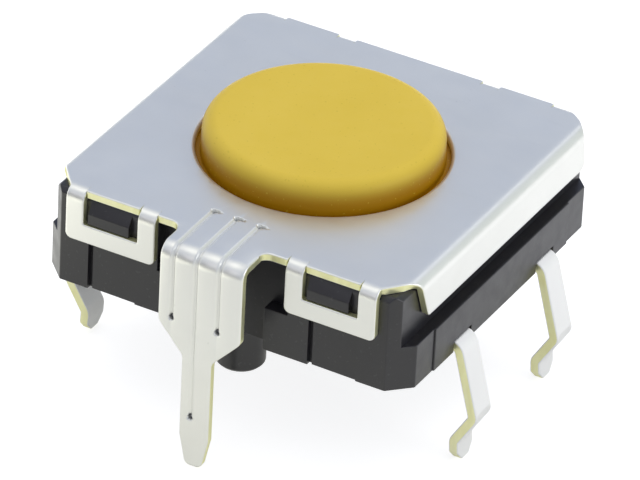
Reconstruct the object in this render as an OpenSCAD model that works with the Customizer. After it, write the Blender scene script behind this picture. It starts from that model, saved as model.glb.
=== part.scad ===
// Tactile push button switch for a circuit board: a moulded base, a one-piece folded
// cover with a ground terminal, a round button, a click dome and two contact strips.
// All sizes are millimetres. The origin is the centre of the underside of the base,
// +Z points to the button, -Y to the ground terminal, and the terminals leave at +X and -X.

/* [Base] */
// Width of the base across the two terminal sides
base_x = 12.16; // [11:0.01:18]
// Depth of the base from its front face to its back face
base_y = 11.6; // [10.6:0.1:18]
// Height of the full-width lower part, up to the ledge under the cover's flanges
ledge_h = 1.44; // [0.9:0.01:1.8]
// Corner chamfer of the base, measured along each side
corner_chamfer = 0.65; // [0.3:0.05:1]
// How far the middle panel of each terminal side stands out
side_panel = 0.05; // [0.02:0.01:0.1]
// Width of that panel along the side
side_panel_w = 8.2; // [6.2:0.1:9]
// Depth of the shallow panels in the front and rear faces, below the latch loops
face_panel = 0.08; // [0.03:0.01:0.15]
// Distance from the centre line to the inner edge of a shallow panel
face_panel_inner = 2.88; // [2.2:0.02:3.2]
// Width of a shallow panel
face_panel_w = 1.6; // [0.8:0.05:2]
// Width of the relief groove along the left edge of a shallow panel
face_groove_w = 0.12; // [0.06:0.01:0.2]
// Depth of that groove below the panel
face_groove = 0.1; // [0.04:0.01:0.2]
// Thickness of the floor under the click dome
floor_t = 0.9; // [0.9:0.05:1.2]
// Depth of the recess behind the ground terminal
recess_depth = 0.45; // [0.2:0.05:0.6]
// Diameter of the two locating bosses
boss_d = 1.5; // [1:0.1:2]
// Length of the locating bosses below the base
boss_len = 1.6; // [0.8:0.1:2]
// Distance between the centres of the locating bosses
boss_pitch = 9; // [7.5:0.1:9.4]

/* [Cover] */
// Height of the cover's top above the underside of the base
cover_top = 3.4; // [3.3:0.1:7]
// Thickness of the cover's sheet
sheet_t = 0.25; // [0.15:0.05:0.3]
// Inner radius of the cover's bends
bend_r = 0.15; // [0.1:0.05:0.25]
// Depth of the side flanges, from the top of the cover to their lower edges
flange_drop = 1.4; // [1:0.05:1.6]
// Distance from the centre to the front ends of the side flanges, at their lower edges
flange_front = 4.35; // [3:0.05:4.6]
// Distance from the centre to the rear ends of the side flanges, at their lower edges
flange_rear = 5.3; // [3:0.05:5.5]
// Radius of the rear lower corners of the side flanges
flange_corner_r = 0.3; // [0.1:0.05:0.4]
// Distance from the centre line to the inner edge of a latch loop
loop_inner = 2.16; // [1.8:0.02:2.3]
// Width of a latch loop
loop_w = 2.98; // [2.4:0.01:3]
// Depth of a latch loop, from the top of the cover to its lower edge
loop_drop = 1.7; // [1.4:0.02:2]
// Width of the upright of a latch loop that is nearer to the centre line
inner_rail = 0.58; // [0.35:0.01:0.7]
// Width of its other upright, nearer to the corner
outer_rail = 0.59; // [0.35:0.01:0.6]
// Height of the bar across the foot of a latch loop
loop_bar = 0.6; // [0.4:0.02:0.7]
// Radius of the lower corners of a latch loop
loop_corner_r = 0.2; // [0.05:0.05:0.3]
// How far the window of a latch loop cuts back into the top
window_cut = 0.14; // [0.05:0.01:0.3]
// How far a latch wedge of the base stands out into its window
wedge_proud = 0.2; // [0.1:0.01:0.25]
// Gap at the narrow side of a latch wedge in its window
wedge_gap_narrow = 0.14; // [0.05:0.01:0.35]
// Gap at the wide side of a latch wedge in its window
wedge_gap_wide = 0.3; // [0.05:0.01:0.35]
// Rounding of the upper edge of the button hole
hole_round = 0.14; // [0.04:0.01:0.2]
// Corner cut at the front of the cover, measured along the front
front_cut_x = 1.04; // [0.95:0.01:1.1]
// Corner cut at the front of the cover, measured along the side
front_cut_y = 1.3; // [1.15:0.01:1.45]
// Corner cut at the rear of the cover, measured along each side
rear_cut = 0.95; // [0.8:0.01:1.05]

/* [Ground terminal] */
// Distance from the front face of the base to the front of the ground terminal
ground_reach = 1.35; // [0.8:0.05:2]
// Width of the ground terminal where it leaves the cover
ground_w = 2.72; // [2:0.02:3.2]
// Width of its solder pin
pin_w = 0.97; // [0.6:0.01:1.4]
// Height above the underside of the base at which the wide part starts to taper
taper_top = 0.8; // [0.2:0.02:1.2]
// Height above the underside of the base at which the taper reaches the pin
taper_foot = -0.14; // [-0.6:0.02:0]
// Length of the pin below the underside of the base
pin_len = 3.83; // [2.5:0.01:5]
// Length of the pin's pointed end
point_len = 1; // [0.4:0.05:1.4]
// Outer radius of the bend of the ground terminal
ground_bend_r = 0.5; // [0.4:0.05:0.8]
// Width of the blunt end of the pin's point
point_w = 0.54; // [0.2:0.02:0.56]
// Distance between the grooves pressed into the ground terminal
groove_pitch = 0.76; // [0.5:0.01:0.9]
// Width of a groove at the surface
groove_w = 0.2; // [0.1:0.01:0.3]
// Depth of a groove
groove_depth = 0.08; // [0.03:0.01:0.12]
// Length of the grooves on the flat top, in front of the bend
groove_back = 1.9; // [0.5:0.05:2]

/* [Button] */
// Diameter of the button above the cover
button_d = 7.2; // [5:0.1:7.4]
// Height of the button's top above the cover
button_rise = 0.9; // [0.7:0.05:2]
// Radius of the button's upper edge
button_edge_r = 0.45; // [0.1:0.05:0.6]
// Gap all round between the button and the hole of the cover
button_gap = 0.16; // [0.1:0.01:0.35]
// How far the button's collar reaches under the cover, past its hole
collar_lap = 0.55; // [0.3:0.05:0.6]
// Thickness of the button's collar
collar_t = 0.6; // [0.4:0.05:0.7]
// Thickness of the button's top
button_wall = 0.8; // [0.5:0.05:1]
// Travel of the button from rest to contact
travel = 0.3; // [0.2:0.05:0.4]

/* [Click dome] */
// Diameter of the click dome
dome_d = 7.6; // [6:0.1:7.8]
// Thickness of the click dome
dome_t = 0.1; // [0.06:0.01:0.12]
// Height of the crown of the dome above its rim
dome_rise = 0.4; // [0.35:0.01:0.5]

/* [Terminals] */
// Distance between the front and the rear terminals
terminal_pitch = 5.05; // [4.5:0.05:6]
// Distance of the middle of the two rows behind the centre
terminal_shift = 0.15; // [-0.2:0.05:0.2]
// Width of a terminal
terminal_w = 0.92; // [0.7:0.01:1.2]
// Width of the blunt end of its tapered tip
tip_w = 0.45; // [0.2:0.05:0.6]
// Length of the taper
tip_taper = 0.3; // [0.2:0.05:0.6]
// Thickness of a contact strip and its terminals
terminal_t = 0.3; // [0.2:0.01:0.3]
// Outward lean of the legs, in degrees from upright
leg_lean = 15; // [5:0.5:20]
// How far behind the side face of the base the upper bend of a leg starts
leg_start = 0.13; // [0:0.01:0.2]
// Straight length of a leg, from its upper bend to its kink
leg_len = 2.05; // [1:0.01:2.5]
// Inward lean below the kink, in degrees from upright
kink_lean = 31; // [10:1:40]
// Length of the inward run below the kink
kink_len = 0.95; // [0.5:0.05:1.2]
// Outward lean of the tip, in degrees from upright
tip_lean = 4; // [0:1:45]
// Length of the outturned tip
tip_len = 0.62; // [0.3:0.01:0.8]

/* [Fits] */
// Gap between the side flanges and the base
flange_gap = 0.02; // [0.01:0.01:0.05]
// Gap round a latch wedge in its window
latch_gap = 0.03; // [0.02:0.01:0.06]
// Guide clearance all round the button's collar
guide_gap = 0.1; // [0.05:0.01:0.12]
// Play between the button and the cover, and between the button and the dome
button_play = 0.02; // [0.01:0.01:0.04]
// Gap all round the rim of the dome
dome_gap = 0.1; // [0.05:0.01:0.15]
// Gap round a terminal where it leaves the base
exit_gap = 0.06; // [0.04:0.01:0.15]

/* [Hidden] */
$fn = 96;

// Overlap of a cutting tool past the face that it cuts
cut = 0.5;
// Overlap of the parts of a bent sheet where they join
join = 0.002;

// Cover, worked out from the base
cover_under = cover_top - sheet_t;
bend_out = bend_r + sheet_t;
front_plane = base_y / 2 + sheet_t;
side_inset = 0.08;
side_plane = base_x / 2 - side_inset;
plate_half_x = side_plane - bend_out;
plate_half_y = front_plane - bend_out;
flange_foot = cover_top - flange_drop;
loop_outer = loop_inner + loop_w;
window_inner = loop_inner + inner_rail;
window_outer = loop_outer - outer_rail;
loop_foot = cover_top - loop_drop;
window_foot = loop_foot + loop_bar;
window_back = front_plane - window_cut;
hole_r = button_d / 2 + button_gap;

// Ground terminal
ground_plane = base_y / 2 + ground_reach;
groove_offset = -0.15;
side_groove_lift = 0.13;
side_groove_foot = taper_top + side_groove_lift;
mid_groove_lift = 0.6;
mid_groove_foot = -pin_len + point_len + mid_groove_lift;

// Base
upper_half_x = side_plane - sheet_t - flange_gap;
recess_half = loop_inner;
slot_gap = 0.04;
slot_half = ground_w / 2 + slot_gap;
boss_edge = 0.12;
wedge_foot = window_foot + latch_gap;
wedge_face = 0.34;
face_panel_cover = 0.2;
face_panel_top = loop_foot + face_panel_cover;
wedge_slope_drop = 0.15;
wedge_slope_top = cover_under - wedge_slope_drop;

// Button and the well that guides it
button_r = button_d / 2;
button_top = cover_top + button_rise;
collar_r = hole_r + collar_lap;
collar_top = cover_under - button_play;
collar_foot = collar_top - collar_t;
guide_r = collar_r + guide_gap;
skirt_t = 0.6;
skirt_r = button_r - skirt_t;
key_w = 1.2;
key_reach = 0.45;
key_bite = 0.3;
dome_top = floor_t + dome_t + dome_rise;
nub_foot = dome_top + button_play;
nub_r = 0.9;
nub_root_r = 1.15;

// Dome and its well
dome_r = dome_d / 2;
dome_lip = 0.3;
dome_well_r = dome_r + dome_gap;
guide_spare = 0.2;
guide_foot = collar_foot - travel - guide_spare;

// Contact strips
strip_top = 0.75;
strip_low = 0.05;
exit_depth = 0.75;
exit_lead = 0.1;
exit_plane = base_x / 2;
exit_top_gap = 0.03;
step_turn = 45;
step_r = 0.1;
leg_bend_r = 0.2;
kink_r = 0.08;
pad_r = 0.55;
rim_pad_x = dome_r - dome_lip / 2;
centre_pad_top = floor_t + dome_rise - travel;
arm_w = 1;

// Height of the foot of a leg, from the drops of its bends and straight lengths
leg_mean = leg_bend_r + terminal_t / 2;
kink_mean = kink_r + terminal_t / 2;
leg_foot = strip_low + terminal_t / 2
  - leg_mean * (1 - sin(leg_lean)) - leg_len * cos(leg_lean)
  - kink_mean * (sin(leg_lean) + sin(kink_lean)) - kink_len * cos(kink_lean)
  - kink_mean * (sin(kink_lean) + sin(tip_lean)) - tip_len * cos(tip_lean)
  - terminal_t / 2 * sin(tip_lean);

// A rectangle given by its corners in the plane
module box2(x0, x1, y0, y1) {
  translate([x0, y0])
    square([x1 - x0, y1 - y0]);
}

// A block given by its lowest and highest corners
module block(low, high) {
  translate(low)
    cube(high - low);
}

// Square plan of width x and depth y with its four corners cut off
module chamfered_plan(x, y, c) {
  polygon([
    [-x / 2 + c, -y / 2], [x / 2 - c, -y / 2], [x / 2, -y / 2 + c], [x / 2, y / 2 - c],
    [x / 2 - c, y / 2], [-x / 2 + c, y / 2], [-x / 2, y / 2 - c], [-x / 2, -y / 2 + c]
  ]);
}

// Sheet section drawn along its path in the plane, starting at the origin along +X.
// Each step is [straight length, turn in degrees (minus is to the right), inner radius].
// The sheet lies on both sides of the path line, half its thickness each way.
module strip_section(steps, t, i = 0) {
  if (i < len(steps)) {
    run = steps[i][0];
    turn = steps[i][1];
    r = steps[i][2] + t / 2;
    side = turn < 0 ? -1 : 1;
    if (run > 0)
      translate([-join, -t / 2])
        square([run + 2 * join, t]);
    translate([run, 0]) {
      if (turn > 0) translate([0, r]) bend_section(r, t, turn);
      if (turn < 0) mirror([0, 1]) translate([0, r]) bend_section(r, t, -turn);
      translate([r * sin(abs(turn)), side * r * (1 - cos(turn))])
        rotate(turn)
          strip_section(steps, t, i + 1);
    }
  }
}

// Arc of sheet of mean radius r, from straight down round to the left by an angle below 180
module bend_section(r, t, angle) {
  reach = 2 * (r + t);
  difference() {
    intersection() {
      circle(r + t / 2);
      polygon([
        [0, 0], [0, -reach], reach * [sin(angle / 2), -cos(angle / 2)], reach * [sin(angle), -cos(angle)]
      ]);
    }
    circle(r - t / 2);
  }
}

// Profile in the YZ plane, made w wide from X = 0 towards +X
module folded(w) {
  rotate([90, 0, 90])
    linear_extrude(w)
      children();
}

// Half of the cover's flat top, with its corners cut off. Its front and rear edges step back
// to the bend line where the loops bend down, and its side ends at the bend of the flange.
module plate_half() {
  difference() {
    intersection() {
      box2(0, plate_half_x, -window_back, window_back);
      polygon([
        [0, -front_plane], [side_plane - front_cut_x, -front_plane],
        [side_plane, front_cut_y - front_plane], [side_plane, front_plane - rear_cut],
        [side_plane - rear_cut, front_plane], [0, front_plane]
      ]);
    }
    for (s = [-1, 1])
      scale_y(s) {
        box2(loop_inner, window_inner, plate_half_y, front_plane);
        box2(window_outer, loop_outer, plate_half_y, front_plane);
      }
  }
}

// Children as they are for 1, mirrored front to back for -1
module scale_y(s) {
  if (s > 0) children();
  else mirror([0, 1, 0]) children();
}

// Flange folded down along one side: its bend carries on the corner cuts of the top, and its
// flat part has slanting ends
module side_flange() {
  difference() {
    flange_strip([[0, -90, bend_r]]);
    bend_end_cut(front_cut_x, front_cut_y);
    mirror([0, 1, 0])
      bend_end_cut(rear_cut, rear_cut);
  }
  intersection() {
    flange_strip([[0, -90, bend_r], [flange_drop - bend_out, 0, 0]]);
    rotate([90, 0, 90])
      linear_extrude(base_x)
        flange_outline();
  }
}

// Strip of sheet along the side, from the edge of the flat top through the given steps
module flange_strip(steps) {
  translate([plate_half_x, front_plane, cover_top - sheet_t / 2])
    rotate([90, 0, 0])
      linear_extrude(2 * front_plane)
        strip_section(steps, sheet_t);
}

// Space beyond the front end of the flange's bend. The cut runs from the edge of the flat top
// to the flat flange in line with the corner cut, and square to the sheet halfway round.
module bend_end_cut(cut_x, cut_y) {
  run = [sqrt(2) * bend_out, bend_out * cut_y / cut_x];
  translate([plate_half_x, cut_y - front_plane - run.y + join, cover_top])
    rotate([0, 45, 0])
      linear_extrude(4 * bend_out, center = true)
        polygon([-2 * run, 3 * run, [3 * run.x, -front_plane], [-2 * run.x, -front_plane]]);
}

// Side view of the flat part of the flange, front to the left
module flange_outline() {
  top = cover_top - bend_out + join;
  r = flange_corner_r;
  polygon([
    [-flange_front, flange_foot], [front_cut_y - front_plane, top],
    [front_plane - rear_cut, top], [flange_rear, flange_foot + r], [flange_rear - r, flange_foot]
  ]);
  translate([flange_rear - r, flange_foot + r])
    circle(r);
}

// Front view of a latch loop with its window, drawn down from the top of the cover
module loop_outline() {
  r = loop_corner_r;
  difference() {
    union() {
      box2(loop_inner, loop_outer, loop_foot + r, cover_top);
      box2(loop_inner + r, loop_outer - r, loop_foot, cover_top);
      for (x = [loop_inner + r, loop_outer - r])
        translate([x, loop_foot + r])
          circle(r);
    }
    box2(window_inner, window_outer, window_foot, cover_top + cut);
  }
}

// Latch loop: two bent uprights and a bar, cut from one bent strip, drawn towards +Y
module latch_loop() {
  straight = loop_drop - bend_out;
  intersection() {
    translate([loop_inner, 0, 0])
      folded(loop_w)
        translate([plate_half_y, cover_top - sheet_t / 2])
          strip_section([[0, -90, bend_r], [straight, 0, 0]], sheet_t);
    translate([0, front_plane + cut, 0])
      rotate([90, 0, 0])
        linear_extrude(front_plane)
          loop_outline();
  }
}

// Children drawn at +X and +Y, repeated at both sides of the front and of the rear
module at_each_loop() {
  for (y = [-1, 1])
    scale_y(y)
      for (s = [0, 1])
        mirror([s, 0, 0])
          children();
}

// Front view of the ground terminal: wide part, taper, and pin with a rounded point
module ground_outline() {
  point_r = point_w / 2;
  polygon([
    [-ground_w / 2, cover_top], [-ground_w / 2, taper_top], [-pin_w / 2, taper_foot],
    [-pin_w / 2, -pin_len + point_len], [-point_r, -pin_len + point_r],
    [point_r, -pin_len + point_r], [pin_w / 2, -pin_len + point_len],
    [pin_w / 2, taper_foot], [ground_w / 2, taper_top], [ground_w / 2, cover_top]
  ]);
  translate([0, -pin_len + point_r])
    circle(point_r);
}

// V-shaped groove along the top, round the bend and down the front to a given height
module ground_groove(foot) {
  half = groove_w / 2;
  bend_y = ground_plane - ground_bend_r;
  bend_z = cover_top - ground_bend_r;
  v = [[-half, 0], [0, -groove_depth], [half, 0], [half, cut], [-half, cut]];
  translate([0, bend_y, cover_top])
    rotate([90, 0, 0])
      linear_extrude(groove_back)
        polygon(v);
  translate([0, bend_y, bend_z])
    rotate([90, 0, 90])
      rotate_extrude(angle = 90)
        translate([ground_bend_r, 0])
          rotate(-90)
            polygon(v);
  translate([0, ground_plane, foot])
    linear_extrude(bend_z - foot)
      polygon(v);
}

// Ground terminal, bent down in front of the base, drawn towards +Y
module ground_terminal() {
  start = window_back - cut;
  bend_y = ground_plane - ground_bend_r;
  straight = cover_top - ground_bend_r + pin_len;
  intersection() {
    translate([-ground_w / 2, 0, 0])
      folded(ground_w)
        translate([start, cover_top - sheet_t / 2])
          strip_section([[bend_y - start, -90, ground_bend_r - sheet_t], [straight, 0, 0]], sheet_t);
    translate([0, ground_plane + cut, 0])
      rotate([90, 0, 0])
        linear_extrude(ground_plane)
          ground_outline();
  }
}

// Hole for the button, with a rounded upper edge
module button_hole() {
  translate([0, 0, cover_under - cut])
    cylinder(r = hole_r, h = sheet_t + 2 * cut);
  rotate_extrude()
    difference() {
      box2(0, hole_r + hole_round, cover_top - hole_round, cover_top + cut);
      translate([hole_r + hole_round, cover_top - hole_round])
        circle(hole_round);
    }
}

module cover() {
  color([0.8, 0.81, 0.82])
    difference() {
      union() {
        translate([0, 0, cover_under])
          linear_extrude(sheet_t)
            for (s = [0, 1])
              mirror([s, 0])
                plate_half();
        for (s = [0, 1])
          mirror([s, 0, 0])
            side_flange();
        at_each_loop()
          latch_loop();
        mirror([0, 1, 0])
          ground_terminal();
      }
      button_hole();
      mirror([0, 1, 0])
        for (i = [-1 : 1])
          translate([i * groove_pitch + groove_offset, 0, 0])
            ground_groove(i == 0 ? mid_groove_foot : side_groove_foot);
    }
}

// Latch wedge in the rear window at the side s: sloped above, square catch below. Seen from
// the front, the front wedges are nearer to the left end of their windows.
module latch_wedge(s) {
  face = base_y / 2;
  low_end = (s > 0 ? window_inner : -window_outer) + wedge_gap_wide;
  translate([low_end, 0, 0])
    folded(window_outer - window_inner - wedge_gap_wide - wedge_gap_narrow)
      polygon([
        [face - cut, wedge_foot], [face + wedge_proud, wedge_foot],
        [face + wedge_proud, wedge_foot + wedge_face], [face, wedge_slope_top],
        [face - cut, wedge_slope_top]
      ]);
}

// Shallow panel in the face below a latch loop, drawn towards +Y
module face_panel_cut() {
  face = base_y / 2;
  outer = face_panel_inner + face_panel_w;
  block([face_panel_inner, face - face_panel, -cut], [outer, face + cut, face_panel_top]);
}

// Relief groove of a rear panel, at its left end seen from the rear
module face_groove_cut(s) {
  back = base_y / 2 - face_panel - face_groove;
  end = s > 0 ? face_panel_inner + face_panel_w : -face_panel_inner;
  block([end - face_groove_w, back, -cut], [end, base_y / 2, face_panel_top]);
}

// Well for the button and the dome, with a slot each side for the button's keys
module well() {
  translate([0, 0, guide_foot])
    cylinder(r = guide_r, h = cover_top - guide_foot);
  translate([0, 0, floor_t])
    cylinder(r = dome_well_r, h = cover_top - floor_t);
  slot_half_x = collar_r + key_reach + guide_gap;
  slot_half_y = key_w / 2 + guide_gap;
  block([-slot_half_x, -slot_half_y, guide_foot], [slot_half_x, slot_half_y, cover_top]);
}

// Space that the ground terminal hangs in front of: wide above the ledge, narrow below it
module terminal_recess() {
  back = -base_y / 2 + recess_depth;
  front = -base_y / 2 - cut;
  block([-recess_half, front, ledge_h], [recess_half, back, cover_top]);
  block([-slot_half, front, -cut], [slot_half, back, ledge_h + cut]);
}

// Notches in the lower edge of the side walls where the terminals come out
module exit_notches() {
  half_w = terminal_w / 2 + exit_gap;
  top = strip_low + terminal_t + exit_top_gap;
  for (x = [-1, 1], y = [-1, 1])
    translate([x * exit_plane, terminal_shift + y * terminal_pitch / 2, 0])
      block([-exit_depth, -half_w, -cut], [exit_depth, half_w, top]);
}

// Round boss below the base, with a small chamfer at its foot
module locating_boss() {
  r = boss_d / 2;
  translate([0, 0, -boss_len])
    cylinder(r1 = r - boss_edge, r2 = r, h = boss_edge);
  translate([0, 0, boss_edge - boss_len])
    cylinder(r = r, h = boss_len - boss_edge + floor_t / 2);
}

// Upper part of the base, with its upper edges cut off to clear the bends of the cover
module upper_body() {
  difference() {
    linear_extrude(cover_under)
      intersection() {
        chamfered_plan(base_x, base_y, corner_chamfer);
        box2(-upper_half_x, upper_half_x, -base_y, base_y);
      }
    for (a = [0, 180])
      rotate(a) {
        top_edge_cut(base_y / 2);
        rotate(90)
          top_edge_cut(upper_half_x);
      }
  }
}

// Cut along the upper edge of the face that is this far from the centre, towards +Y
module top_edge_cut(face) {
  low = cover_under - bend_r;
  translate([-base_x, 0, 0])
    folded(2 * base_x)
      polygon([
        [face - bend_r, cover_under], [face, low], [face + cut, low],
        [face + cut, cover_under + cut], [face - bend_r, cover_under + cut]
      ]);
}

module base() {
  color([0.16, 0.16, 0.17])
    difference() {
      union() {
        difference() {
          union() {
            linear_extrude(ledge_h) {
              chamfered_plan(base_x, base_y, corner_chamfer);
              square([base_x + 2 * side_panel, side_panel_w], center = true);
            }
            upper_body();
            for (a = [0, 180], s = [-1, 1])
              rotate(a)
                latch_wedge(s);
          }
          terminal_recess();
          at_each_loop()
            face_panel_cut();
          for (a = [0, 180], s = [-1, 1])
            rotate(a)
              face_groove_cut(s);
        }
        for (s = [-1, 1])
          translate([0, s * boss_pitch / 2, 0])
            locating_boss();
      }
      well();
      exit_notches();
      front_strip_body();
      rear_strip_body();
    }
}

// Half section of the button: cap with a rounded edge, collar, and a tapered nub inside
module button_section() {
  roof = button_top - button_wall;
  edge_x = button_r - button_edge_r;
  edge_z = button_top - button_edge_r;
  difference() {
    union() {
      box2(0, button_r, collar_foot, edge_z);
      box2(0, edge_x, collar_foot, button_top);
      translate([edge_x, edge_z])
        circle(button_edge_r);
      box2(0, collar_r, collar_foot, collar_top);
    }
    box2(-cut, skirt_r, collar_foot - cut, roof);
  }
  polygon([[0, nub_foot], [nub_r, nub_foot], [nub_root_r, roof], [0, roof]]);
}

module button() {
  color([0.85, 0.72, 0.25]) {
    rotate_extrude()
      button_section();
    for (s = [0, 1])
      mirror([s, 0, 0])
        block([collar_r - key_bite, -key_w / 2, collar_foot], [collar_r + key_reach, key_w / 2, collar_top]);
  }
}

module click_dome() {
  half = dome_r - dome_lip;
  sphere_r = (half * half + dome_rise * dome_rise) / (2 * dome_rise);
  color([0.85, 0.85, 0.86])
    translate([0, 0, floor_t])
      rotate_extrude()
        union() {
          box2(half, dome_r, 0, dome_t);
          intersection() {
            difference() {
              translate([0, dome_rise - sphere_r + dome_t]) circle(sphere_r);
              translate([0, dome_rise - sphere_r]) circle(sphere_r);
            }
            box2(0, half, 0, dome_rise + dome_t);
          }
        }
}

// Half of a contact strip in side view: flat inside the base, stepped down to the exit,
// bent down, kinked inward and turned out again at its tip
module leg_section() {
  mean_r = step_r + terminal_t / 2;
  slant_fall = strip_top - strip_low - terminal_t - 2 * mean_r * (1 - cos(step_turn));
  step_x = 2 * mean_r * sin(step_turn) + slant_fall / tan(step_turn);
  flat = exit_plane - exit_depth - exit_lead - step_x;
  translate([0, strip_top - terminal_t / 2])
    strip_section([
      [flat, -step_turn, step_r],
      [slant_fall / sin(step_turn), step_turn, step_r],
      [exit_lead + exit_depth - leg_start, -(90 - leg_lean), leg_bend_r],
      [leg_len, -(leg_lean + kink_lean), kink_r],
      [kink_len, kink_lean + tip_lean, kink_r],
      [tip_len, 0, 0]
    ], terminal_t);
}

// End view of a leg, from its foot upwards: a tapered tip below the full width
module leg_outline(foot) {
  polygon([
    [-tip_w / 2, foot], [tip_w / 2, foot], [terminal_w / 2, foot + tip_taper],
    [terminal_w / 2, floor_t + cut], [-terminal_w / 2, floor_t + cut], [-terminal_w / 2, foot + tip_taper]
  ]);
}

// Stamped strip with a leg at each end, lying along X at its own terminal row
module strip_with_legs() {
  for (s = [0, 1])
    mirror([s, 0, 0])
      intersection() {
        translate([0, terminal_w / 2, 0])
          rotate([90, 0, 0])
            linear_extrude(terminal_w)
              leg_section();
        rotate([90, 0, 90])
          linear_extrude(base_x)
            leg_outline(leg_foot);
      }
}

// Front strip, with a tongue to the centre contact
module front_strip_body() {
  row = terminal_shift - terminal_pitch / 2;
  low = strip_top - terminal_t;
  translate([0, row, 0])
    strip_with_legs();
  block([-arm_w / 2, row, low], [arm_w / 2, 0, strip_top]);
  translate([0, 0, low])
    cylinder(r = pad_r, h = centre_pad_top - low);
}

// Rear strip, with two arms to the contacts under the rim of the dome
module rear_strip_body() {
  row = terminal_shift + terminal_pitch / 2;
  low = strip_top - terminal_t;
  translate([0, row, 0])
    strip_with_legs();
  for (s = [-1, 1]) {
    translate([s * rim_pad_x, 0, 0])
      block([-arm_w / 2, 0, low], [arm_w / 2, row, strip_top]);
    translate([s * rim_pad_x, 0, low])
      cylinder(r = pad_r, h = floor_t - low);
  }
}

module front_contact_strip() {
  color([0.86, 0.86, 0.82])
    front_strip_body();
}

module rear_contact_strip() {
  color([0.86, 0.86, 0.82])
    rear_strip_body();
}

base();
cover();
button();
click_dome();
front_contact_strip();
rear_contact_strip();
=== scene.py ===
import math

import bmesh
import bpy
import numpy as np
from mathutils import Matrix, Vector
from mathutils.geometry import delaunay_2d_cdt


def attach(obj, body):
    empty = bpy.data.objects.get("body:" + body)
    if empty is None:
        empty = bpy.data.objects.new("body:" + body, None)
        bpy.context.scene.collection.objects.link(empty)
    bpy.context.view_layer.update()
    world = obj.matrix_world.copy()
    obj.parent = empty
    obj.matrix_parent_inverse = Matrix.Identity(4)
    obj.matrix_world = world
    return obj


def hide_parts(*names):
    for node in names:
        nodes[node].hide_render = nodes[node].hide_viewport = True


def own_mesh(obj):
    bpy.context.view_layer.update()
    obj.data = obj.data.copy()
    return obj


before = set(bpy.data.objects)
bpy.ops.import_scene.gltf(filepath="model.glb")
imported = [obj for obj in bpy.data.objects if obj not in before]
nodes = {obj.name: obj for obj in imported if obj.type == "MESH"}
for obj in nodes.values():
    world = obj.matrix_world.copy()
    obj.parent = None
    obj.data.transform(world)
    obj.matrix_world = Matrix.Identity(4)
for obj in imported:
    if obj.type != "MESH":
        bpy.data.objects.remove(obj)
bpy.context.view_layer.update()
scene = bpy.context.scene
scene.view_settings.view_transform = "Standard"

# Sizes are written in millimetres, and MM turns them into the metres that Blender gets
MM = 0.001
# A quarter turn in radians
QUARTER = math.pi / 2

# Camera, fitted to the edges in the photo, with its angles in degrees
CAMERA_AZIMUTH = 27.8957
CAMERA_ELEVATION = 32.3533
CAMERA_ROLL = 2.9333
CAMERA_DISTANCE = 212.538
CAMERA_SHIFT_RIGHT = -0.02136
CAMERA_SHIFT_UP = -1.1286
AIM = (0, 0, 1.5)
SENSOR_WIDTH = 36
FOCAL_PIXELS = 7228.598
PICTURE_WIDTH = 640


def make_camera():
    az, el, roll = (math.radians(k) for k in (CAMERA_AZIMUTH, CAMERA_ELEVATION, CAMERA_ROLL))
    back = Vector((math.sin(az) * math.cos(el), -math.cos(az) * math.cos(el), math.sin(el)))
    level = Vector((math.cos(az), math.sin(az), 0))
    upright = back.cross(level)
    right = level * math.cos(roll) + upright * math.sin(roll)
    up = -level * math.sin(roll) + upright * math.cos(roll)
    place = Vector(AIM) + back * CAMERA_DISTANCE + right * CAMERA_SHIFT_RIGHT + up * CAMERA_SHIFT_UP
    data = bpy.data.cameras.new("camera")
    data.sensor_fit = "HORIZONTAL"
    data.sensor_width = SENSOR_WIDTH
    data.lens = FOCAL_PIXELS * SENSOR_WIDTH / PICTURE_WIDTH
    data.clip_start = 0.01
    data.clip_end = 10
    cam = bpy.data.objects.new("camera", data)
    scene.collection.objects.link(cam)
    turn = Matrix((right, up, back)).transposed().to_4x4()
    cam.matrix_world = Matrix.Translation(place * MM) @ turn
    scene.camera = cam


make_camera()


# Node helpers
def new_material(name):
    mat = bpy.data.materials.new(name)
    mat.use_nodes = True
    tree = mat.node_tree
    tree.nodes.clear()
    out = tree.nodes.new("ShaderNodeOutputMaterial")
    return mat, tree, out


def place_axes(tree):
    """Sockets of the object's own coordinates."""
    coord = tree.nodes.new("ShaderNodeTexCoord")
    split = tree.nodes.new("ShaderNodeSeparateXYZ")
    tree.links.new(coord.outputs["Object"], split.inputs[0])
    return split.outputs


def cloud(tree, per_mm, detail=2.0, stretch=(1, 1, 1), shift=0.0):
    """Noise over the object, with about this many features to a millimetre."""
    coord = tree.nodes.new("ShaderNodeTexCoord")
    place = tree.nodes.new("ShaderNodeMapping")
    place.inputs["Scale"].default_value = [k / MM for k in stretch]
    place.inputs["Location"].default_value = (shift, shift * 0.7, shift * 0.3)
    noise = tree.nodes.new("ShaderNodeTexNoise")
    noise.inputs["Scale"].default_value = per_mm
    noise.inputs["Detail"].default_value = detail
    tree.links.new(coord.outputs["Object"], place.inputs["Vector"])
    tree.links.new(place.outputs["Vector"], noise.inputs["Vector"])
    return noise.outputs["Fac"]


def colours(tree, fac, stops):
    """Colour that follows a value through stops (position, colour)."""
    ramp = tree.nodes.new("ShaderNodeValToRGB")
    elements = ramp.color_ramp.elements
    while len(elements) < len(stops):
        elements.new(0.5)
    for element, (position, colour) in zip(elements, stops):
        element.position = position
        element.color = (*colour, 1)
    tree.links.new(fac, ramp.inputs["Fac"])
    return ramp.outputs["Color"]


def span(tree, value, low, high, to_low, to_high, smooth=False):
    """Value mapped from one range to another, held at its ends."""
    n = tree.nodes.new("ShaderNodeMapRange")
    if smooth:
        n.interpolation_type = "SMOOTHSTEP"
    for name, v in (("From Min", low), ("From Max", high), ("To Min", to_low), ("To Max", to_high)):
        n.inputs[name].default_value = v
    tree.links.new(value, n.inputs["Value"])
    return n.outputs["Result"]


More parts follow.
